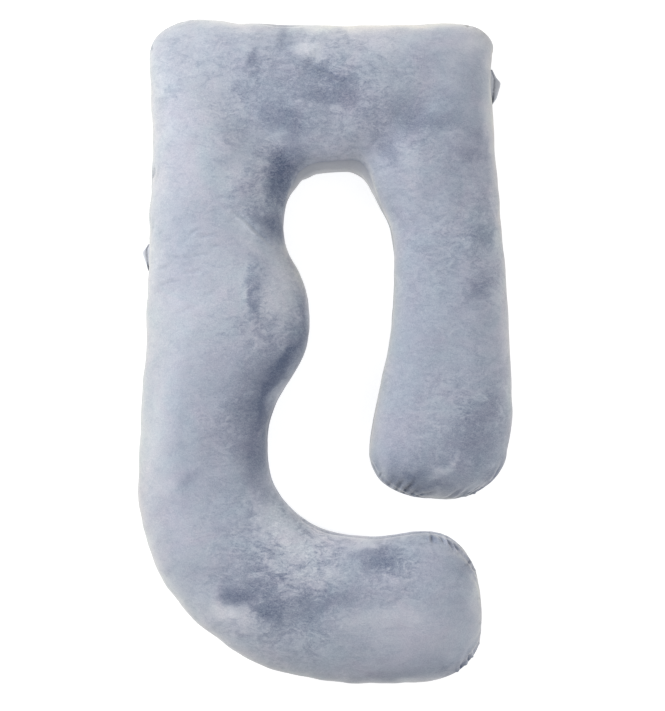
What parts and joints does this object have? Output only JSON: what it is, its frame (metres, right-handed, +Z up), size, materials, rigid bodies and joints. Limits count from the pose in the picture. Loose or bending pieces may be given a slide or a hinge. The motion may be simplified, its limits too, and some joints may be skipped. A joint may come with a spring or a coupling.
{
  "type": "full-body pillow with a curled foot",
  "caption": "Long stuffed pillow bent into a hook that wraps round a side sleeper: headrest bar, short leg, and long leg with a belly bulge and curled foot.",
  "frame": {"origin": "on the floor under the middle of the pillow's box, seen from above", "axes": "+Y runs from the curled foot to the headrest bar, +X from the long leg to the short leg, +Z up out of the face the pillow lies on"},
  "size_m": [0.8228, 1.455, 0.1962],
  "materials": {
    "velvet_cover": "short-pile blue-grey plush velvet with a cloudy nap",
    "tab_cloth": "the same plush, folded double and seen against the nap"
  },
  "bodies": {
    "root": {"pillow_body": "velvet_cover", "tab_left": "tab_cloth", "tab_right": "tab_cloth"}
  },
  "joints": []
}
